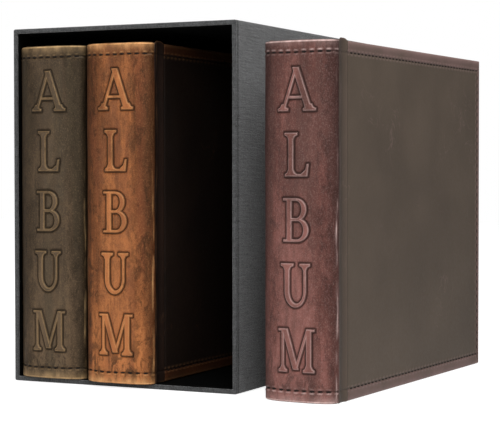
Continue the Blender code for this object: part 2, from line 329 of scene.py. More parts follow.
def crown_path(fractions):
    """Points and outward normals at fractions of the arc length across the spine, from the back cover."""
    angle = math.pi - np.linspace(0, math.pi, CROWN_SAMPLES)
    x = THICK / 2 * (1 + np.sign(np.cos(angle)) * np.abs(np.cos(angle)) ** (2 / CROWN_POWER_X))
    y = -BULGE * np.abs(np.sin(angle)) ** (2 / CROWN_POWER_Y)
    length = np.concatenate([[0], np.cumsum(np.hypot(np.diff(x), np.diff(y)))])
    at = np.asarray(fractions) * length[-1]
    points = np.stack([np.interp(at, length, x), np.interp(at, length, y)], 1)
    tx, ty = (np.interp(at + NORMAL_STEP, length, v) - np.interp(at - NORMAL_STEP, length, v) for v in (x, y))
    return points, np.stack([ty, -tx], 1) / np.hypot(tx, ty)[:, None], length[-1]


def stitch_swell(along):
    """From 0 between two stitches to 1 at the middle of each."""
    return 0.5 + 0.5 * np.cos(2 * math.pi * along / STITCH_PITCH)


def stitch_relief(across, along):
    """Height of leather beside a sewn line: a groove with small swells where the thread pulls it down."""
    swell = SWELL_RISE * stitch_swell(along) * bell(np.abs(across) - 1.35 * MM, SWELL_WIDTH)
    return swell - GROOVE_DEPTH * bell(across, GROOVE_WIDTH)


def stitch_marks(across, along):
    """How dark the sewn line's groove is, and how pale its swells are: partly rubbed wear, partly painted
    highlight.
    """
    swell = stitch_swell(along)
    worn = swell * bell(np.abs(across) - 1.30 * MM, 0.55 * MM)
    return bell(across, GROOVE_WIDTH) * (0.30 + 0.70 * swell), worn


def rounded_end(from_end, radius):
    """How far a face falls away close to its head or tail."""
    t = np.clip(1 - from_end / radius, 0, 1)
    return 0.9 * radius * (1 - np.sqrt(1 - t * t))


def near_head(up):
    """0 on the lower part of an album, 1 on its upper part."""
    return smooth_step(up, 0.40 * HEIGHT, 0.75 * HEIGHT)


def make_loop_skin(name, loops, place, material, marks, flip=False):
    """Leather swept through closed loops. Marks on the outer face, which comes first, are padded with 0."""
    rows, columns = loops.shape[:2]
    attributes = {key: np.hstack([values, np.zeros((rows, columns - values.shape[1]))])
                  for key, values in marks.items()}
    points = place(loops.reshape(-1, 3))
    return make_piece(name, points, tube_faces(rows, columns), material, attributes, flip=flip)


def spine_marks(album, across, up, width):
    """Relief of the spine's leather, and how dark and worn it is at each place, with painted shade and
    painted highlights among these marks, and painted light towards the tail.
    """
    seed = seed_of(album)
    word = word_distance(across, up)
    relief = LETTER_RISE * smooth_step(-word, -0.20 * MM, LETTER_FLANK)
    relief -= PRESSED_DEPTH * bell(word - PRESSED_WIDTH, PRESSED_WIDTH)
    dark = bell(word - 0.55 * MM, PRESSED_WIDTH)
    wear = 0.46 * bell(word + 0.32 * MM, 0.28 * MM)
    side = np.abs(across) - width / 2
    shoulder = smooth_step(side, -3.2 * MM, -1.0 * MM)
    sag = THREAD_SAG * wavy(across, seed, SAG_WAVES)
    for line in SEWN_LINES:
        relief += stitch_relief(up - line - sag, across) * (1 - shoulder)
        groove, swell = stitch_marks(up - line - sag, across)
        outward = smooth_step(np.abs(up - HEIGHT / 2) - np.abs(line - HEIGHT / 2), -0.5 * MM, 0.5 * MM)
        stain = bell(up - line - 1.0 * MM, 2.4 * MM) * patchy(across, seed + 8, 130, 0.35, 0.65)
        dark = np.maximum(dark, np.maximum(groove, 0.42 * stain))
        # pale swells beside the stitches: partly rubbed wear, partly painted highlight
        wear = np.maximum(wear, PUCKER_WEAR_AND_HIGHLIGHT[album] * swell * (0.30 + 0.70 * outward))
    from_end = np.minimum(up, HEIGHT - up)
    relief -= rounded_end(from_end, SPINE_ROUNDING)
    relief += 0.30 * MM * wavy(up + across * 0.3, seed + 1, 60) * shoulder
    relief += 0.10 * MM * wavy(up, seed + 2, 45) * wavy(across, seed + 3, 120)

    # painted highlight: a thin bright line along the head and tail edges, put into the wear mark
    edge_highlight = 1.2 * bell(from_end - 0.8 * MM, 0.45 * MM) * (0.85 + 0.25 * wavy(across, seed + 6, 110))
    fade = np.where(up > HEIGHT / 2, *END_FADE[album]) * bell(from_end, 4.0 * MM)
    wear = np.maximum(wear, np.maximum(edge_highlight, fade * (0.6 + 0.4 * wavy(across, seed + 7, 300))))
    ridge = bell(side + 2.0 * MM + 0.7 * MM * wavy(up, seed + 4, 75), 0.42 * MM)
    wear = np.maximum(wear, 0.85 * ridge * patchy(up, seed + 5, 130, 0.40, 0.75) * (1 - 0.9 * near_head(up)))
    # painted shade: dark at the spine's back-cover edge near head and tail, where it curves away, and at its
    # front-cover edge near the head
    corner = bell(from_end, 12 * MM) * smooth_step(-across, width / 2 - 6 * MM, width / 2 - 1 * MM)
    shade = near_head(up) * smooth_step(across, width / 2 - 5 * MM, width / 2 - 1 * MM)
    dark = np.maximum(dark, np.maximum(0.75 * corner, 0.38 * shade))
    return relief, {"dark": dark, "wear": wear, "face": smooth_step(-word, 0, 0.5 * MM),
                    # band: the crown lighter and the shoulders darker, partly the finish, partly painted
                    # light and shade where the crown turns
                    "band": 1 - smooth_step(np.abs(across), 0.10 * width, 0.46 * width),
                    # painted light: the tone rises towards the tail
                    "painted_light_low": (1 - up / HEIGHT) ** 2.5, "foot": bell(up - 10 * MM, 14 * MM)}


def make_spine_skin(album, place):
    """The spine's leather: crowned, lettered and sewn at head and tail, turned in over the board's ends."""
    side = 0.5 - LETTER_BAND / crown_path([0])[2]
    s = spaced([(0, 0), (side, 0.014), (1 - side, 0.0056), (1, 0.014)])
    z = spaced([(0, 0), (SPINE_END, 0.35 * MM), (HEIGHT - SPINE_END, 0.42 * MM), (HEIGHT, 0.35 * MM)])
    path, normal, width = crown_path(s)
    across, up = np.meshgrid((s - 0.5) * width, z, indexing="ij")
    relief, marks = spine_marks(album, across, up, width)
    path, normal = path[:, None], normal[:, None]
    levels = [(inset, HEIGHT - from_end * MM) for inset, from_end in SPINE_TURN_IN]
    levels += [(inset, from_end * MM) for inset, from_end in reversed(SPINE_TURN_IN)]
    inset, level = np.array(levels).T
    turned_in = path - normal * inset[:, None] * MM
    flat = np.concatenate([path + normal * relief[..., None], turned_in], axis=1)
    flat[..., 1] = np.minimum(flat[..., 1], 0.0)
    heights = np.hstack([up, np.broadcast_to(level, turned_in.shape[:2])])
    loops = np.concatenate([flat, heights[..., None]], axis=2)
    piece = make_loop_skin(f"{album}_spine_skin", loops, place, MATERIAL[album], marks)
    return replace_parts(piece, f"{album}_spine_leather")


def channel(y):
    """How far the hinge strip sinks below the cover's face, along its width."""
    return CHANNEL_DEPTH * np.sin(math.pi * np.clip(y / COVER_START, 0, 1)) ** 1.5


def make_hinge_skin(album, side, place):
    """The leather between spine and cover, sunk in a shallow channel, with a small ear at its head."""
    y = spaced([(GAP / 2, 0), (COVER_START - GAP / 2, 0.55 * MM)])
    z = spaced([(0, 0), (HINGE_END, 0.5 * MM), (HEIGHT - HINGE_END, 1.8 * MM), (HEIGHT, 0.5 * MM)])
    across, up = np.meshgrid(y, z, indexing="ij")
    seed = seed_of(album, side)
    sink = channel(across) + 0.22 * MM * wavy(up, seed, 70) * np.sin(math.pi * across / COVER_START)
    # painted shade: darker down the sunken channel near the spine, along the crease where the cover starts,
    # and over the part nearest the spine
    dark = 0.36 * bell(across - 0.28 * COVER_START, 0.34 * COVER_START)
    dark += 0.50 * bell(across - COVER_START, 0.6 * MM)
    dark += 0.16 * smooth_step(-across, -0.95 * COVER_START, -0.7 * COVER_START)
    for line in SEWN_LINES:
        sink += 0.35 * MM * bell(up - line, GROOVE_WIDTH)
        dark = np.maximum(dark, 0.5 * bell(up - line, GROOVE_WIDTH))
    from_end = np.minimum(up, HEIGHT - up)
    sink += rounded_end(from_end, HINGE_ROUNDING)
    ridge = across - (1.5 + 2.6 * near_head(up) + 0.8 * wavy(up, seed + 1, 45)) * MM
    wear = 0.8 * bell(ridge, 0.38 * MM) * patchy(up, seed + 2, 130, 0.45, 0.75)
    wear = np.maximum(wear, 0.35 * bell(from_end, 0.7 * MM))
    ear = EAR_HEIGHT * np.exp(-((across - 0.56 * COVER_START) / (0.36 * COVER_START)) ** 4)
    raised = up + ear * smooth_step(up, HEIGHT - EAR_FADE, HEIGHT)
    inner = [np.stack([channel(y) + LEATHER, y, level], axis=-1)
             for level in (ear[:, 0] + HEIGHT - 0.4 * MM, np.full(len(y), 0.4 * MM))]
    loops = np.concatenate([np.stack([sink, across, raised], axis=-1), np.stack(inner, axis=1)], axis=1)
    if side == "front":
        loops[..., 0] = THICK - loops[..., 0]
    marks = {"dark": dark, "wear": wear, "border": np.full(loops.shape[:2], 0.12)}
    name, material = f"{album}_{side}_hinge_skin", MATERIAL[f"{album}_cover"]
    piece = make_loop_skin(name, loops, place, material, marks, flip=side == "back")
    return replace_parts(piece, f"{album}_{side}_hinge")


def cover_rings():
    """(inset from the edge, depth from the outer face) of the leather round a cover's edge, and turned in."""
    radius = COVER_ROUNDING
    falls = [(radius * s, radius * c) for c, s in quarter_turn(30, 60, 90)]
    edge = falls + [(0.0, COVER_T - radius)] + [(depth, COVER_T - inset) for inset, depth in falls]
    return edge, [(LEATHER_TURN_IN, COVER_T), (LEATHER_TURN_IN, COVER_T - LEATHER),
                  (LEATHER, COVER_T - LEATHER), (LEATHER, LEATHER)]


def border_marks(y, z):
    """Distances across and along a cover's three sewn lines, where each is, and how wide its groove is."""
    low, high, spare = SEWN_LINES[0], SEWN_LINES[1], STITCH_PITCH / 2
    lines = [(z - low, y, y < FORE_EDGE_LINE + spare, 1.0), (high - z, y, y < FORE_EDGE_LINE + spare, 1.0),
             (FORE_EDGE_LINE - y, z, (z > low - spare) & (z < high + spare), 1.8)]
    return [(across, along - COVER_START, on.astype(float), width) for across, along, on, width in lines]


def cover_marks(y, up, seed):
    """Relief of a cover's face, and how dark and worn it is, and where its tinted border lies."""
    relief, dark, wear = (np.zeros_like(up) for _ in range(3))
    for across, along, on, width in border_marks(y, up):
        relief += stitch_relief(across, along) * on
        groove, swell = stitch_marks(across / width, along)
        dark = np.maximum(dark, 0.45 * width * groove * on)
        # pale swells beside the stitches: partly rubbed wear, partly painted highlight
        wear = np.maximum(wear, 0.30 * swell * on)
    from_end = np.minimum(up, HEIGHT - up)
    edge = np.minimum(from_end, DEPTH - y)
    relief += 0.25 * MM * bell(edge - 3.2 * MM, 1.8 * MM)
    relief += 0.12 * MM * wavy(y, seed, 30) * wavy(up, seed + 1, 26)
    relief -= 0.50 * MM * bell(y - COVER_START, 1.2 * MM)
    inside = np.minimum(from_end - STITCH_MARGIN, FORE_EDGE_LINE - y)
    wear = np.maximum(wear, 0.55 * bell(edge, 1.9 * MM) * (0.75 + 0.25 * wavy(y + up, seed + 2, 60)))
    return relief, {"dark": dark, "wear": wear, "border": smooth_step(-inside, -0.6 * MM, 0.6 * MM)}


def make_cover_skin(album, side, place, spacing):
    """A cover's leather: sewn border, softly rounded edges, and turned in over the board."""
    radius = COVER_ROUNDING
    y = spaced([(COVER_START, 0), (DEPTH - COVER_EDGE, spacing), (DEPTH - radius, FINE)])
    z = spaced([(radius, 0), (COVER_EDGE, FINE), (HEIGHT - COVER_EDGE, spacing), (HEIGHT - radius, FINE)])
    across, up = np.meshgrid(y, z, indexing="ij")
    relief, marks = cover_marks(across, up, seed_of(album, side, "cover"))
    rows, columns = up.shape
    points = np.stack([-relief, across, up], axis=-1).reshape(-1, 3)
    tail = [i * columns for i in range(rows)]
    fore = [(rows - 1) * columns + k for k in range(1, columns - 1)]
    head = [i * columns + columns - 1 for i in reversed(range(rows))]
    rim = tail + fore + head
    outward = np.zeros((len(rim), 3))
    outward[:rows, 2] = -1
    outward[-rows:, 2] = 1
    outward[rows - 1:1 - rows, 1] = 1

    edge, turned_in = cover_rings()
    flat = points[rim] * (0, 1, 1)
    rings = [flat + (depth, 0, 0) + outward * (radius - inset) for inset, depth in edge + turned_in]
    numbers = [np.array(rim)]
    numbers += [len(points) + i * len(rim) + np.arange(len(rim)) for i in range(len(rings))]
    faces = grid_faces(rows, columns)
    for before, after in zip(numbers, numbers[1:]):
        faces += np.stack([before[:-1], after[:-1], after[1:], before[1:]], 1).tolist()
    faces.append(numbers[-1].tolist()[::-1])
    first, last = ([int(ring[end]) for ring in numbers[1:]] for end in (0, -1))
    faces.append(list(range(columns)) + last + first[::-1])

    pad, worn = np.zeros(len(rings) * len(rim)), len(edge) * len(rim)
    pads = {"dark": pad, "wear": np.where(np.arange(len(pad)) < worn, 0.4, 0.0), "border": pad + 1}
    points = np.concatenate([points] + rings)
    if side == "front":
        points[:, 0] = THICK - points[:, 0]
    attributes = {key: np.concatenate([values.ravel(), pads[key]]) for key, values in marks.items()}
    name, material = f"{album}_{side}_cover_skin", MATERIAL[f"{album}_cover"]
    piece = make_piece(name, place(points), faces, material, attributes, flip=side == "back")
    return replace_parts(piece, f"{album}_{side}_leather")


# ---- sewing

SPINE_THREAD_R, COVER_THREAD_R = 0.42 * MM, 0.28 * MM
SPINE_THREAD_SINK, COVER_THREAD_SINK = 0.15 * MM, 0.12 * MM
SPINE_STITCH_HALF, COVER_STITCH_HALF = 0.310 * STITCH_PITCH, 0.2635 * STITCH_PITCH
THREAD_SIDES = 6
STITCH_DIVE = [(0, -0.75), (0.1, -0.25), (0.3, 0.12), (0.7, 0.12), (0.9, -0.25), (1, -0.75)]  # share, mm up


def stitch_tube(start, end, outward, radius):
    """One stitch: a short length of thread that dives into the leather at both ends."""
    start, end, outward = (np.asarray(v, float) for v in (start, end, outward))
    across = np.cross((end - start) / np.linalg.norm(end - start), outward)
    share, height = np.array(STITCH_DIVE).T[..., None]
    middle = start + share * (end - start) + height * MM * outward
    turn = np.linspace(0, 2 * math.pi, THREAD_SIDES, endpoint=False)
    circle = radius * (np.cos(turn)[:, None] * across + np.sin(turn)[:, None] * outward)
    return (middle[:, None] + circle[None]).reshape(-1, 3), tube_faces(len(STITCH_DIVE), THREAD_SIDES)


def make_stitches(name, runs, radius, place):
    """All stitches of one sewn line; a run is (start, end, outward direction)."""
    verts, faces = join_meshes([stitch_tube(*run, radius) for run in runs])
    return make_piece(name, place(verts), faces, MATERIAL["thread"])


def stitch_places(low, high):
    """Middles of a cover's stitches between two ends, in step with the pitch from the cover's start."""
    first, last = (math.ceil((end - COVER_START) / STITCH_PITCH) for end in (low, high))
    middles = [COVER_START + index * STITCH_PITCH for index in range(first, last)]
    return [m for m in middles if m - COVER_STITCH_HALF > low and m + COVER_STITCH_HALF < high]


def make_cover_stitches(album, side, place):
    x, out = (THICK - COVER_THREAD_SINK, 1) if side == "front" else (COVER_THREAD_SINK, -1)
    ends = np.array([-1, 1]) * COVER_STITCH_HALF
    places = stitch_places(COVER_START, FORE_EDGE_LINE)
    runs = [[(x, y + end, z) for end in ends] for y in places for z in SEWN_LINES]
    runs += [[(x, FORE_EDGE_LINE, z + end) for end in ends] for z in stitch_places(*SEWN_LINES)]
    runs = [(start, end, (out, 0, 0)) for start, end in runs]
    piece = make_stitches(f"{album}_{side}_stitches", runs, COVER_THREAD_R, place)
    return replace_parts(piece, f"{album}_{side}_thread")


def make_spine_stitches(album, place):
    width = crown_path([0])[2]
    reach = int((width / 2 - 3.5 * MM) / STITCH_PITCH)
    runs = []
    for index in range(-reach, reach + 1):
        ends = index * STITCH_PITCH + np.array([-1, 1]) * SPINE_STITCH_HALF
        path, normal, _ = crown_path(0.5 + ends / width)
        sag = THREAD_SAG * wavy(ends, seed_of(album), SAG_WAVES)
        for line in SEWN_LINES:
            points = [(*(p - SPINE_THREAD_SINK * n), line + d) for p, n, d in zip(path, normal, sag)]
            runs.append((*points, (*normal.mean(0), 0)))
    piece = make_stitches(f"{album}_spine_stitches", runs, SPINE_THREAD_R, place)
    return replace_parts(piece, f"{album}_spine_head_thread", f"{album}_spine_tail_thread")


# ---- leaves

GLUED_END = 14 * MM
LEAF_COUNT, LEAF_PITCH, CARD_T, CARD_SOFT = 28, 1.4 * MM, 0.46 * MM, 0.2 * MM
POCKET_H, POCKET_W, WELD = 103.5 * MM, 156 * MM, 2 * MM  # each pocket takes one 10 x 15 cm print
FILM_RISE, FILM_SINK = 0.19 * MM, 0.08 * MM
STRIP_T, STRIP_OVERLAP, GUARD_GAP = 1.1 * MM, 0.2 * MM, 0.07 * MM  # at the glued end
FIXED_CELLS, TURNING_CELLS = 9, 17  # of a pocket's mesh, each way
TURNING_LEAVES = 3


def leaf_middle(index):
    """Where a leaf lies across the spine, counted from the back cover."""
    return THICK / 2 + (index - (LEAF_COUNT - 1) / 2) * LEAF_PITCH


def soft_box(x0, x1, y0, y1, z0, z1, soft=CARD_SOFT):
    """A box whose ends in z and far end in y are a little thinner: a cut sheet of card."""
    verts = []
    for z, pinch in ((z0, soft), (z0 + 2 * soft, 0), (z1 - 2 * soft, 0), (z1, soft)):
        p, q = min(pinch, (x1 - x0) / 4), min(soft, (x1 - x0) / 4)
        verts += [(x0 + p, y0, z), (x0 + p, y1 - 2 * soft, z), (x0 + p + q, y1 - pinch, z),
                  (x1 - p - q, y1 - pinch, z), (x1 - p, y1 - 2 * soft, z), (x1 - p, y0, z)]
    return verts, tube_faces(4, 6), 0.0


def pocket(face_x, outward, y0, z0, cells):
    """A clear film pocket, welded to the card round its edge and a little full in the middle."""
    even = np.linspace(-1, 1, cells)
    u, v = np.meshgrid(even, even, indexing="ij")
    full = (1 - np.abs(u) ** 10) * (1 - np.abs(v) ** 10)
    rim = np.maximum(np.abs(u), np.abs(v)) > 0.999
    x = face_x + outward * np.where(rim, -FILM_SINK, FILM_RISE * (0.55 + 0.45 * full))
    u, v = ((1 + np.sign(w) * np.abs(w) ** 0.35) / 2 for w in (u, v))
    verts = np.stack([x, y0 + u * POCKET_W, z0 + v * POCKET_H], -1).reshape(-1, 3)
    number = np.arange(cells * cells).reshape(cells, cells)
    edge = [number[0], number[1:, -1], number[-1, -2::-1], number[-2:0:-1, 0]]
    faces = grid_faces(cells, cells) + [np.concatenate(edge).tolist()]
    return verts, [face[::outward] for face in faces], 1.0


def leaf_parts(middle, start, cells):
    """One card leaf with two pockets on each face, one above the other at the fore-edge."""
    half = CARD_T / 2
    low, high = LEAF_MARGIN, HEIGHT - LEAF_MARGIN
    parts = [soft_box(middle - half, middle + half, start, LEAF_REACH, low, high)]
    for outward in (-1, 1):
        for z0 in (low + WELD, high - WELD - POCKET_H):
            parts.append(pocket(middle + outward * half, outward, LEAF_REACH - WELD - POCKET_W, z0, cells))
    return parts


def join_parts(name, parts, place):
    verts, faces = join_meshes([part[:2] for part in parts])
    film = np.concatenate([np.full(len(points), clear) for points, _, clear in parts])
    piece = make_piece(name, place(verts), faces, MATERIAL["leaf"], {"film": film}, smooth=False)
    return piece


def make_leaves(album, fixed, place):
    """The leaves that stay put, the guards that space them at the spine, and the strip they are glued to."""
    low, high = LEAF_MARGIN, HEIGHT - LEAF_MARGIN
    strip_end = BLOCK_START + STRIP_T
    parts = [soft_box(BLOCK_INSET, THICK - BLOCK_INSET, BLOCK_START, strip_end, low, high)]
    for index in range(LEAF_COUNT):
        middle, half = leaf_middle(index), LEAF_PITCH / 2 - GUARD_GAP
        guard = (middle - half, middle + half, strip_end - STRIP_OVERLAP, GLUED_END)
        parts.append(soft_box(*guard, low, high, 0.75 * CARD_SOFT))
        if index < fixed:
            parts += leaf_parts(middle, GLUED_END - MM, FIXED_CELLS)
    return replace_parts(join_parts(f"{album}_leaves", parts, place), f"{album}_page_block")


def make_turning_leaves(album, place):
    for number in range(1, TURNING_LEAVES + 1):
        parts = leaf_parts(leaf_middle(LEAF_COUNT - number), GLUED_END + 3 * GAP, TURNING_CELLS)
        piece = join_parts(f"{album}_turning_leaf_{number}", parts, place)
        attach(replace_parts(piece, f"{album}_leaf_{number}"), f"{album}_leaf_{number}")


# ---- slipcase

CASE_EDGE, LIP_EDGE, CASE_SUPPORT = 1.3 * MM, 0.6 * MM, 1.3 * MM  # radii, and how far support loops stand off
CLOTH, CASE_WALL, CASE_TURN_IN = 0.34 * MM, 3.10 * MM, 15.2 * MM
SEAM_DEPTH, SEAM_SHADE, LIP_SHADE = 0.30 * MM, 1.0, 0.22  # the line pressed into the cloth behind its mouth, and how much painted shade darkens that line and the mouth's lip
LAP_SINK, LAP_RISE = 0.35 * MM, 0.05 * MM  # of the lining paper, from the face of the wall


def case_ring(y, inset):
    """A rounded rectangle round the slipcase, set in from its outside, with support beside its corners."""
    half_x, low, high = CASE_HIGH.x - inset, CASE_LOW_Z + inset, CASE_HIGH_Z - inset
    radius = max(CASE_EDGE - inset, 0.2 * MM)
    corners = ((half_x, low, -90), (half_x, high, 0), (-half_x, high, 90), (-half_x, low, 180))
    points = []
    for x, z, start in corners:
        centre = (x - math.copysign(radius, x), z + (radius if z == low else -radius))
        for step, shift in ((0, -CASE_SUPPORT), (0, 0), (1, 0), (2, 0), (3, 0), (4, 0), (4, CASE_SUPPORT)):
            angle = math.radians(start + 22.5 * step)
            along = (-math.sin(angle) * shift, math.cos(angle) * shift)
            points.append((centre[0] + radius * math.cos(angle) + along[0], y,
                           centre[1] + radius * math.sin(angle) + along[1]))
    return points


def lathe_case(name, profile, material, close_ends, shades=0.0):
    """A skin swept through (y, inset) stations, its ends closed or joined; shades: how dark each is."""
    rings = np.array([case_ring(y, inset) for y, inset in profile])
    rows, columns = rings.shape[:2]
    dark = np.zeros((rows, columns)) + np.reshape(shades, (-1, 1))
    faces = tube_faces(rows, columns)
    if not close_ends:
        last = (rows - 1) * columns
        faces[-2:] = [[last + k, k, (k + 1) % columns, last + (k + 1) % columns] for k in range(columns)]
    piece = make_piece(name, rings.reshape(-1, 3), faces, material, {"dark": dark}, flip=True)
    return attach(piece, "slipcase")


def make_case_skins():
    """The cloth over the slipcase, rounded at every edge, and the black paper lapped over its turn-in."""
    back, mouth = CASE_HIGH.y, CASE_LOW.y
    arc = quarter_turn(0, 22.5, 45, 67.5, 90)
    profile = [(back, CASE_EDGE + CASE_SUPPORT)] + [(back - CASE_EDGE * c, CASE_EDGE * s) for c, s in arc]
    profile += [(back - CASE_EDGE - CASE_SUPPORT, 0), (mouth + 4.5 * MM, 0), (mouth + 2.5 * MM, 0),
                (mouth + 2.1 * MM, SEAM_DEPTH), (mouth + 1.5 * MM, SEAM_DEPTH), (mouth + 1.1 * MM, 0)]
    profile += [(mouth + LIP_EDGE * s, LIP_EDGE * c) for c, s in arc] + [(mouth, CASE_WALL / 2)]
    profile += [(mouth + LIP_EDGE * c, CASE_WALL - LIP_EDGE * s) for c, s in arc]
    profile += [(mouth + 1.2 * MM, CASE_WALL), (mouth + 1.2 * MM, CASE_WALL - CLOTH),
                (mouth + LIP_EDGE, CASE_WALL - CLOTH - 0.1 * MM), (mouth + LIP_EDGE, CLOTH + 0.1 * MM),
                (back - CASE_EDGE, CLOTH), (back - CLOTH, CASE_EDGE)]
    shades = [SEAM_SHADE if inset == SEAM_DEPTH else LIP_SHADE if y < mouth + MM else 0.0
              for y, inset in profile]
    cloth = lathe_case("case_cloth_skin", profile, MATERIAL["cloth"], True, shades)
    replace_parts(cloth, "case_side_cloth", "case_top_cloth", "case_floor_cloth")
    start, end = mouth + 0.9 * MM, mouth + CASE_TURN_IN
    sunk, raised = CASE_WALL - LAP_SINK, CASE_WALL + LAP_RISE
    lapped = [(start, sunk), (start, CASE_WALL - 0.02 * MM), (start + 0.5 * MM, raised), (end, raised),
              (end, sunk)]
    lathe_case("case_mouth_lining", lapped, MATERIAL["lining"], False)


# ---- materials

class Shader:
    """A new node material with a few short ways to add and join nodes."""

    def __init__(self, name, roughness=0.5, specular=0.5):
        self.material = bpy.data.materials.new(name)
        self.material.use_nodes = True
        self.nodes = self.material.node_tree.nodes
        self.links = self.material.node_tree.links
        self.surface = self.nodes["Principled BSDF"]
        self.fill(self.surface, Roughness=roughness, Specular_IOR_Level=specular)
        self.place = self.nodes.new("ShaderNodeTexCoord").outputs["Object"]

    def set(self, socket, value):
        if isinstance(value, bpy.types.NodeSocket):
            self.links.new(value, socket)
        else:
            socket.default_value = value

    def fill(self, node, **inputs):
        """A node, its inputs set by name."""
        for name, value in inputs.items():
            self.set(node.inputs[name.replace("_", " ")], value)
        return node

    def add(self, kind, **inputs):
        return self.fill(self.nodes.new(f"ShaderNode{kind}"), **inputs)

    def noise(self, scale, detail=4.0, roughness=0.55, distortion=0.0):
        """Noise of so many features to a metre: the same all round, or one number for each axis."""
        even = isinstance(scale, float)
        mapping = self.add("Mapping", Vector=self.place, Scale=(1, 1, 1) if even else scale)
        node = self.add("TexNoise", Vector=mapping.outputs["Vector"], Scale=scale if even else 1.0,
                        Detail=detail, Roughness=roughness, Distortion=distortion)
        return node.outputs["Fac"]

    def attribute(self, name):
        node = self.add("Attribute")
        node.attribute_name = name
        return node.outputs["Fac"]

    def math(self, operation, a, b=0.0, clamp=False):
        node = self.add("Math")
        node.operation = operation
        node.use_clamp = clamp
        self.set(node.inputs[0], a)
        self.set(node.inputs[1], b)
        return node.outputs[0]

    def mark(self, name, strength):
        """A mark painted on the mesh, times its strength."""
        return self.math("MULTIPLY", self.attribute(name), strength, clamp=True)

    def total(self, *parts):
        """The sum of values, each times its weight."""
        result = self.math("MULTIPLY", *parts[0])
        for value, weight in parts[1:]:
            result = self.math("ADD", result, self.math("MULTIPLY", value, weight))
        return result

    def spread(self, value, low, high, to_low=0.0, to_high=1.0):
        return self.add("MapRange", Value=value, From_Min=low, From_Max=high, To_Min=to_low,
                        To_Max=to_high).outputs["Result"]

    def mix(self, factor, a, b):
        node = self.add("Mix")
        node.data_type = "RGBA"
        for index, value in ((0, factor), (6, a), (7, b)):
            self.set(node.inputs[index], value)
        return node.outputs[2]

    def ramp(self, value, stops):
        node = self.add("ValToRGB", Fac=value)
        elements = node.color_ramp.elements
        while len(elements) < len(stops):
            elements.new(0.5)
        for element, (position, colour) in zip(elements, stops):
            element.position = position
            element.color = colour
        return node.outputs["Color"]

    def bump(self, *layers):
        """Layers of (height, strength, distance in metres), each on top of the last."""
        normal = None
        for height, strength, distance in layers:
            node = self.add("Bump", Strength=strength, Distance=distance, Height=height)
            if normal is not None:
                self.fill(node, Normal=normal)
            normal = node.outputs["Normal"]
        self.fill(self.surface, Normal=normal)

    def finish(self, colour, **coat):
        self.fill(self.surface, Base_Color=colour, **coat)
        return self.material


def srgb(red, green, blue):
    """A linear colour from display values of 0 to 255."""
    values = [c / 255 for c in (red, green, blue)]
    return (*[c / 12.92 if c <= 0.04045 else ((c + 0.055) / 1.055) ** 2.4 for c in values], 1.0)


BLACK = (0.004, 0.003, 0.003, 1)


def burnished_leather(name, colours, gloss, stained):
    """Spine leather rubbed to a shine: blotched and streaked, stained near its sides, bright where worn and
    where highlights are painted, lighter towards the tail as painted light, its crown lighter and shoulders
    darker partly as painted light and shade.
    """
    shadow, low, middle, high, tint, worn = (srgb(*colour) for colour in colours)
    shader = Shader(name, specular=0.30)
    shader.fill(shader.surface, Specular_Tint=gloss)
    broad = shader.noise((70, 70, 17), 3.0, distortion=0.3)
    blotch = shader.noise((260, 260, 130), 5.0, 0.70, distortion=0.5)
    streak = shader.noise((600, 600, 34), 4.0, 0.60)
    speck = shader.noise((1600, 1600, 1300), 2.0, 0.50)
    band, face = shader.attribute("band"), shader.attribute("face")
    # painted light: the tail rise lightens the spine towards the tail, and the band, in part, lightens its
    # crown
    tone = shader.total((broad, 0.70), (blotch, 0.50), (streak, 0.26), (speck, 0.30), (band, 0.17),
                        (face, 0.12), (shader.attribute("painted_light_low"), 0.38))
    tone = shader.spread(tone, 0.75, 1.38)
    colour = shader.ramp(tone, [(0.12, low), (0.54, middle), (0.94, high)])
    hue = shader.noise((85, 85, 9), 2.0)
    colour = shader.mix(shader.spread(hue, 0.50, 0.64, 0.0, 0.55), colour, tint)
    foot = shader.attribute("foot")
    stain = shader.total((shader.noise((140, 140, 70), 6.0, 0.75, distortion=0.8), 1.0), (foot, -0.06))
    stain = shader.spread(stain, 0.40, 0.50, stained, 0.0)
    kept = shader.math("MAXIMUM", shader.spread(band, 0, 1, 1.0, 0.40), foot)
    kept = shader.math("SUBTRACT", kept, shader.math("MULTIPLY", face, 0.5))
    colour = shader.mix(shader.math("MULTIPLY", stain, kept, clamp=True), colour, shadow)
    # partly painted shade: the shoulders darken towards the low colour where the crown turns away
    colour = shader.mix(shader.spread(band, 0.02, 0.32, 0.60, 0.0), colour, low)
    fleck = shader.spread(shader.noise((1300, 1300, 1000), 3.0, 0.7), 0.50, 0.72, 0.0, 0.11)
    colour = shader.mix(fleck, colour, worn)
    # the wear mark also holds painted highlights: the thin line along head and tail, and in part the stitch
    # swells
    colour = shader.mix(shader.mark("wear", shader.spread(blotch, 0.35, 0.6, 0.45, 1.0)), colour, worn)
    # the dark mark also holds painted shade at the spine's edges
    colour = shader.mix(shader.mark("dark", 0.92), colour, shadow)
    grain = shader.noise((1100, 1100, 900), 4.0, 0.6)
    shader.bump((grain, 0.40, 0.00022), (blotch, 0.30, 0.0006))
    return shader.finish(colour, Roughness=shader.spread(blotch, 0.3, 0.7, 0.36, 0.56))


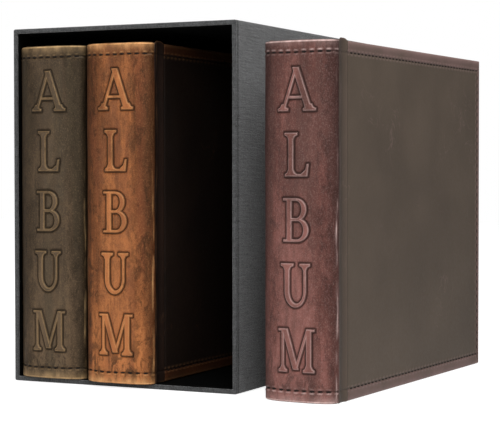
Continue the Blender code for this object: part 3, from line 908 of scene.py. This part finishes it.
def matt_leather(name, colours):
    """Cover leather: matt, faintly mottled and scuffed, with a tinted border outside the sewn line."""
    low, high, border, worn = (srgb(*colour) for colour in colours)
    shader = Shader(name, specular=0.25)
    cloud = shader.noise(16.0, 4.0)
    fine = shader.noise(420.0, 3.0, 0.6)
    colour = shader.ramp(shader.total((cloud, 0.75), (fine, 0.25)), [(0.38, low), (0.62, high)])
    vein = shader.math("ABSOLUTE", shader.math("SUBTRACT", shader.noise(34.0, 3.0, 0.5, distortion=1.5), 0.5))
    scuff = shader.math("MULTIPLY", shader.spread(vein, 0.0, 0.012, 0.14, 0.0),
                        shader.spread(shader.noise(21.0, 2.0), 0.58, 0.70, 0.0, 1.0), clamp=True)
    colour = shader.mix(scuff, colour, worn)
    patch = shader.spread(shader.noise(38.0, 4.0), 0.30, 0.60, 0.45, 1.0)
    colour = shader.mix(shader.mark("border", patch), colour, border)
    # the wear mark also holds painted highlights on the stitch swells
    colour = shader.mix(shader.mark("wear", 0.8), colour, worn)
    # the dark mark also holds painted shade in the hinge channel, besides the sewn grooves
    colour = shader.mix(shader.mark("dark", 0.85), colour, BLACK)
    grain = shader.noise(900.0, 4.0, 0.6)
    shader.bump((grain, 0.30, 0.0002), (cloud, 0.15, 0.002))
    return shader.finish(colour, Roughness=shader.spread(fine, 0.3, 0.7, 0.52, 0.66))


LINEN_THREADS = (((75, 1300, 1300), 0.24), ((1300, 75, 1300), 0.24), ((1300, 1300, 90), 0.20))  # and weights


def linen_cloth(name, low, high):
    """Black bookcloth: fine crossed threads of uneven thickness, flecked with grey, with a dusty sheen."""
    shader = Shader(name, roughness=0.55, specular=0.4)
    shader.fill(shader.surface, Sheen_Weight=0.45, Sheen_Roughness=0.45)
    slub = shader.noise((620, 60, 620), 3.0, 0.75)
    threads = [(shader.noise(scale, 3.0, 0.7), weight) for scale, weight in LINEN_THREADS]
    threads = shader.total(*threads, (slub, 0.32))
    fleck = shader.spread(shader.noise(1500.0, 2.0, 0.6), 0.56, 0.70, 0.0, 0.5)
    colour = shader.ramp(threads, [(0.42, srgb(*low)), (0.58, srgb(*high))])
    colour = shader.mix(fleck, colour, srgb(120, 121, 122))
    # the dark mark holds painted shade in the pressed seam and on the mouth's lip
    colour = shader.mix(shader.mark("dark", 0.85), colour, BLACK)
    shader.bump((threads, 0.70, 0.0008), (slub, 0.70, 0.0011), (fleck, 0.30, 0.0002))
    return shader.finish(colour, Roughness=shader.spread(threads, 0.40, 0.60, 0.44, 0.64))


def fibrous(name, low, high, scale, roughness=0.9, specular=0.2):
    """Paper, board or thread: matt, with fine fibres."""
    shader = Shader(name, roughness, specular)
    fibre = shader.noise(scale, 5.0, 0.7)
    tone = shader.total((fibre, 0.7), (shader.noise(scale / 25, 3.0), 0.3))
    shader.bump((fibre, 0.3, 0.0001))
    return shader.finish(shader.ramp(tone, [(0.35, srgb(*low)), (0.65, srgb(*high))]))


def pocket_leaf(name, card, film):
    """White card under clear film, which is glossy where a pocket covers it."""
    shader = Shader(name, specular=0.45)
    fibre = shader.noise(900.0, 4.0, 0.7)
    clear = shader.attribute("film")
    colour = shader.mix(clear, shader.mix(fibre, srgb(*card), srgb(236, 233, 224)), srgb(*film))
    ripple = shader.noise(60.0, 2.0)
    shader.bump((fibre, 0.2, 0.0001), (ripple, 0.15, 0.0006))
    return shader.finish(colour, Roughness=shader.spread(clear, 0, 1, 0.7, 0.16))


SPINE_LEATHERS = {  # shadow, low, middle, high, tint and worn colours; tint of its shine; how stained it is
    "bronze": (((15, 10, 7), (34, 26, 18), (62, 49, 37), (92, 74, 56), (58, 50, 38), (200, 164, 116)),
               (1.0, 0.80, 0.58, 1), 0.70),
    "copper": (((24, 12, 6), (62, 34, 18), (116, 67, 38), (178, 110, 64), (112, 62, 40), (232, 174, 116)),
               (1.0, 0.66, 0.42, 1), 0.80),
    "plum": (((26, 14, 12), (56, 33, 30), (92, 56, 50), (132, 86, 79), (80, 54, 49), (226, 196, 190)),
             (1.0, 0.66, 0.58, 1), 0.55),
}
COVER_LEATHERS = {  # low, high, border and worn colours
    "bronze": ((56, 48, 40), (66, 56, 46), (84, 70, 52), (140, 116, 84)),
    # partly painted shade: the copper cover is darker than the other covers' brown, for the shade of the slot
    # it stands in
    "copper": ((23, 15, 11), (32, 21, 15), (70, 37, 18), (176, 126, 84)),
    "plum": ((76, 65, 55), (86, 74, 63), (108, 86, 81), (164, 134, 130)),
}


def make_materials():
    spines = {name: burnished_leather(f"{name}_leather", *looks) for name, looks in SPINE_LEATHERS.items()}
    covers = {f"{name}_cover": matt_leather(f"{name}_cover_leather", colours)
              for name, colours in COVER_LEATHERS.items()}
    return spines | covers | {
        "thread": fibrous("sewing_thread", (14, 11, 10), (32, 26, 23), 2500.0, 0.7),
        "cloth": linen_cloth("black_linen", (20, 21, 22), (82, 83, 84)),
        "lining": fibrous("black_lining", (4, 4, 4), (9, 9, 9), 900.0, 0.95, 0.05),
        "greyboard": fibrous("greyboard", (120, 116, 108), (150, 145, 136), 500.0),
        "endpaper": fibrous("endpaper", (34, 31, 29), (50, 46, 43), 600.0),
        "leaf": pocket_leaf("pocket_leaf", (216, 211, 198), (206, 210, 212)),
    }


# ---- albums

def make_album(name, place, bodies, spacing):
    """bodies: the body of the spine and pages, and those of the back and the front cover."""
    spine_body, cover_bodies = bodies
    spine = make_spine_skin(name, place)
    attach(spine, spine_body)
    stitches = make_spine_stitches(name, place)
    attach(stitches, spine_body)
    turning = TURNING_LEAVES if name == "plum" else 0
    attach(make_leaves(name, LEAF_COUNT - turning, place), spine_body)
    if turning:
        make_turning_leaves(name, place)
    for side, body in cover_bodies.items():
        hinge = make_hinge_skin(name, side, place)
        if body == spine_body:
            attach(hinge, body)
        else:
            x = THICK if side == "front" else 0.0
            start, end = place((x, HINGE_Y - FLEX, 0)), place((x, HINGE_Y + FLEX, 0))
            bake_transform(hinge)
        cover = make_cover_skin(name, side, place, spacing)
        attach(cover, body)
        stitches = make_cover_stitches(name, side, place)
        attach(stitches, body)


def make_albums():
    for name in ("bronze", "copper"):
        body = f"{name}_album"
        make_album(name, shelved_frame(name), (body, {"back": body, "front": body}), 1.35 * MM)
    covers = {"back": "plum_back_cover", "front": "plum_front_cover"}
    make_album("plum", standing_frame("plum"), ("plum_spine_and_pages", covers), 0.9 * MM)


def paint_cad_nodes():
    """Materials for the nodes that show as they are."""
    kinds = {"board": "greyboard", "cloth": "cloth", "lining": "lining", "endpaper": "endpaper",
             "block": "leaf", "leather": "plum_cover", "hinge": "plum", "thread": "thread"}
    for name, node in frame["nodes"].items():
        kind = next((kinds[word] for word in name.split("_")[::-1] if word in kinds), "leaf")
        node.data.materials.clear()
        node.data.materials.append(MATERIAL[kind])


# ---- stage

CAMERA_FROM_CASE = (0.635, -0.941, 0.1454)  # from the case's front left corner, at floor level
CLIP_START, CLIP_END = 0.01, 20.0
CAMERA_TURN, CAMERA_PITCH, CAMERA_ROLL = math.radians(25.81), math.radians(-1.50), math.radians(-0.07)
LENS, SENSOR = 117.81, 36.0  # mm
AMBIENT = 0.22
FLOOR_HALF, FLOOR_LEVEL, FLOOR_GLOW = 3.0, -0.4 * MM, 0.80
SOFT_BOXES = (("overhead_softbox", (0.62, -0.40, 1.25), 0.9, 15.5),  # name, place, size, watts
              ("front_softbox", (-0.70, -1.50, 0.10), 0.5, 6.6),
              ("fill_softbox", (0.50, -1.05, 0.60), 0.4, 3.5))
LIGHTS_AIM = Vector((0.05, 0, 0.12))


def make_camera():
    data = bpy.data.cameras.new("camera")
    data.lens, data.sensor_width = LENS, SENSOR
    data.clip_start, data.clip_end = CLIP_START, CLIP_END
    camera = add_object("camera", data)
    corner = Vector((CASE_LOW.x, CASE_LOW.y, 0.0))
    turn = Matrix.Rotation(CAMERA_TURN, 4, "Z") @ Matrix.Rotation(math.pi / 2 + CAMERA_PITCH, 4, "X")
    turn = turn @ Matrix.Rotation(CAMERA_ROLL, 4, "Z")
    camera.matrix_world = Matrix.Translation(corner + Vector(CAMERA_FROM_CASE)) @ turn
    bpy.context.scene.camera = camera


def seen_by_camera(nodes, links, unseen, seen):
    """A value that is `seen` where the camera looks straight at it and `unseen` where it lights things."""
    strength = nodes.new("ShaderNodeMapRange")
    strength.inputs["To Min"].default_value = unseen
    strength.inputs["To Max"].default_value = seen
    links.new(nodes.new("ShaderNodeLightPath").outputs["Is Camera Ray"], strength.inputs["Value"])
    return strength.outputs["Result"]


def make_floor():
    verts = [(x * FLOOR_HALF, y * FLOOR_HALF, FLOOR_LEVEL) for x, y in ((-1, -1), (1, -1), (1, 1), (-1, 1))]
    shader = Shader("pale_floor", roughness=0.9, specular=0.1)
    glow = seen_by_camera(shader.nodes, shader.links, 0.0, FLOOR_GLOW)
    shader.fill(shader.surface, Emission_Color=(1, 1, 1, 1), Emission_Strength=glow)
    floor = make_piece("floor", verts, [[0, 1, 2, 3]], shader.finish((0.86, 0.86, 0.86, 1)), smooth=False)


def make_lights():
    """A white room, dimmer as a light than it looks, and three soft boxes: overhead, low in front, a fill."""
    world = bpy.data.worlds.new("white_room")
    world.use_nodes = True
    nodes, links = world.node_tree.nodes, world.node_tree.links
    nodes["Background"].inputs["Color"].default_value = (1, 1, 1, 1)
    links.new(seen_by_camera(nodes, links, AMBIENT, 1.0), nodes["Background"].inputs["Strength"])
    bpy.context.scene.world = world
    for name, place, size, power in SOFT_BOXES:
        data = bpy.data.lights.new(name, "AREA")
        data.size, data.energy = size, power
        light = add_object(name, data)
        light.location = place
        light.rotation_euler = (LIGHTS_AIM - light.location).to_track_quat("-Z", "Y").to_euler()


MATERIAL = make_materials()
make_camera()
make_floor()
make_lights()
paint_cad_nodes()
make_case_skins()
make_albums()
bpy.context.scene.view_settings.view_transform = "Standard"
